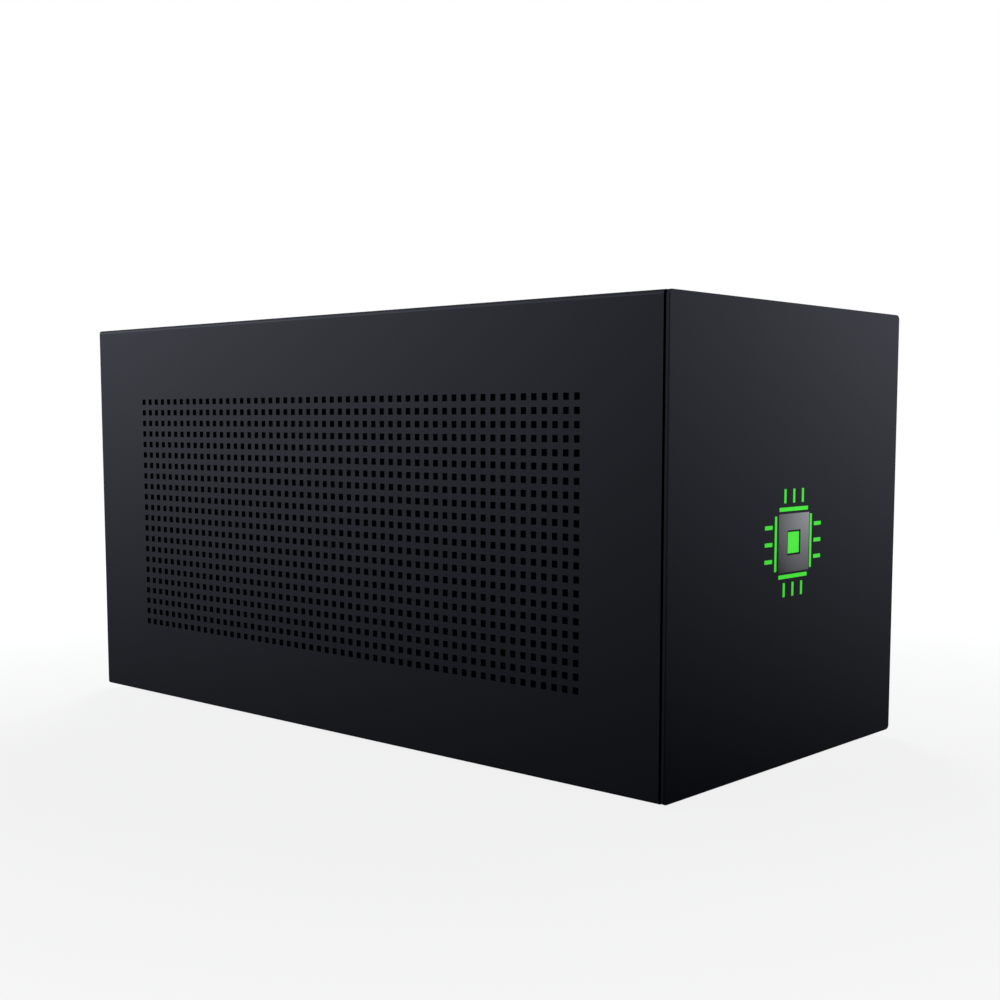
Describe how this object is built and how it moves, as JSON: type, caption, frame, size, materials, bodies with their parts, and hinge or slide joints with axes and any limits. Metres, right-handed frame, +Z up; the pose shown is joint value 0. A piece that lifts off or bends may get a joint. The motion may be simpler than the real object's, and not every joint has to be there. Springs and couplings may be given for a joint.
{
  "type": "external graphics card enclosure",
  "caption": "Tall black steel box for a desktop graphics card, with a perforated slide-off cover, flat front panel with a lit badge, card bay, fan and built-in power supply.",
  "frame": {"origin": "on the floor under the middle of the enclosure", "axes": "+Z up, -Y out of the front panel, +X to the right seen from the front"},
  "size_m": [0.181, 0.3832, 0.1955],
  "materials": {
    "cover_black": "satin powder coat",
    "front_black": "satin powder coat",
    "chassis_black": "matte powder coat",
    "supply_black": "matte powder coat",
    "badge_light": "translucent, lit from behind",
    "rubber_black": "matte",
    "knob_black": "black anodised, knurled",
    "bright_steel": "zinc plated",
    "circuit_board": "solder mask",
    "heatsink_metal": "extruded",
    "plastic_black": "moulded, fine grain",
    "rotor_black": "moulded",
    "cable_black": "matte",
    "filter_black": "fine woven mesh"
  },
  "bodies": {
    "chassis": {"badge_light_guide": "badge_light", "base_pan": "chassis_black", "board_standoffs": "bright_steel", "card_socket": "plastic_black", "case_fan_frame": "plastic_black", "case_fan_screws": "bright_steel", "center_rail": "chassis_black", "controller_chip": "plastic_black", "controller_heatsink": "heatsink_metal", "fan_lead": "cable_black", "fan_post_front": "chassis_black", "fan_post_rear": "chassis_black", "foot_front_left": "rubber_black", "foot_front_right": "rubber_black", "foot_rear_left": "rubber_black", "foot_rear_right": "rubber_black", "front_frame": "chassis_black", "front_panel": "front_black", "harness_plug": "plastic_black", "host_port": "bright_steel", "interface_board": "circuit_board", "light_board": "circuit_board", "light_housing": "plastic_black", "light_lead": "cable_black", "mains_inlet": "plastic_black", "power_socket": "plastic_black", "rear_panel": "chassis_black", "side_rail": "chassis_black", "slot_cover_1": "chassis_black", "slot_cover_2": "chassis_black", "slot_cover_3": "chassis_black", "slot_cover_4": "chassis_black", "slot_frame": "chassis_black", "slot_screws": "bright_steel", "supply_board": "circuit_board", "supply_cover": "supply_black", "supply_cradle": "supply_black", "supply_fan_mount": "plastic_black", "supply_harness": "cable_black", "supply_screws": "bright_steel", "supply_sockets": "plastic_black", "supply_tray": "supply_black", "switch_bezel": "plastic_black"},
    "cover": {"perforated_cover": "cover_black", "dust_filter_left": "filter_black", "dust_filter_right": "filter_black"},
    "cover_screw_1": {"cover_screw_1": "knob_black"},
    "cover_screw_2": {"cover_screw_2": "knob_black"},
    "cover_screw_3": {"cover_screw_3": "knob_black"},
    "cover_screw_4": {"cover_screw_4": "knob_black"},
    "case_fan": {"case_fan_rotor": "rotor_black"},
    "supply_fan": {"supply_fan_rotor": "rotor_black"},
    "switch": {"mains_switch": "plastic_black"},
    "latch": {"socket_latch": "plastic_black"}
  },
  "joints": [
    {"name": "cover_slide", "type": "slide", "parent": "chassis", "child": "cover", "axis": [0, 1, 0], "range_m": [0, 0.385]},
    {"name": "cover_screw_1_turn", "type": "hinge", "parent": "cover", "child": "cover_screw_1", "pos_m": [-0.08, 0.1836, 0.014], "axis": [0, 1, 0], "continuous": true},
    {"name": "cover_screw_2_turn", "type": "hinge", "parent": "cover", "child": "cover_screw_2", "pos_m": [-0.08, 0.1836, 0.1809], "axis": [0, 1, 0], "continuous": true},
    {"name": "cover_screw_3_turn", "type": "hinge", "parent": "cover", "child": "cover_screw_3", "pos_m": [0.08, 0.1836, 0.014], "axis": [0, 1, 0], "continuous": true},
    {"name": "cover_screw_4_turn", "type": "hinge", "parent": "cover", "child": "cover_screw_4", "pos_m": [0.08, 0.1836, 0.1809], "axis": [0, 1, 0], "continuous": true},
    {"name": "case_fan_spin", "type": "hinge", "parent": "chassis", "child": "case_fan", "pos_m": [0.072, -0.0741, 0.09925], "axis": [1, 0, 0], "continuous": true},
    {"name": "supply_fan_spin", "type": "hinge", "parent": "chassis", "child": "supply_fan", "pos_m": [0.072, 0.1107, 0.0937], "axis": [1, 0, 0], "continuous": true},
    {"name": "mains_switch_tilt", "type": "hinge", "parent": "chassis", "child": "switch", "pos_m": [0.0525, 0.1789, 0.1387], "axis": [1, 0, 0], "range_deg": [0, 14]},
    {"name": "socket_latch_tilt", "type": "hinge", "parent": "chassis", "child": "latch", "pos_m": [-0.00846, 0.028, 0.0183], "axis": [1, 0, 0], "range_deg": [0, 25]}
  ]
}
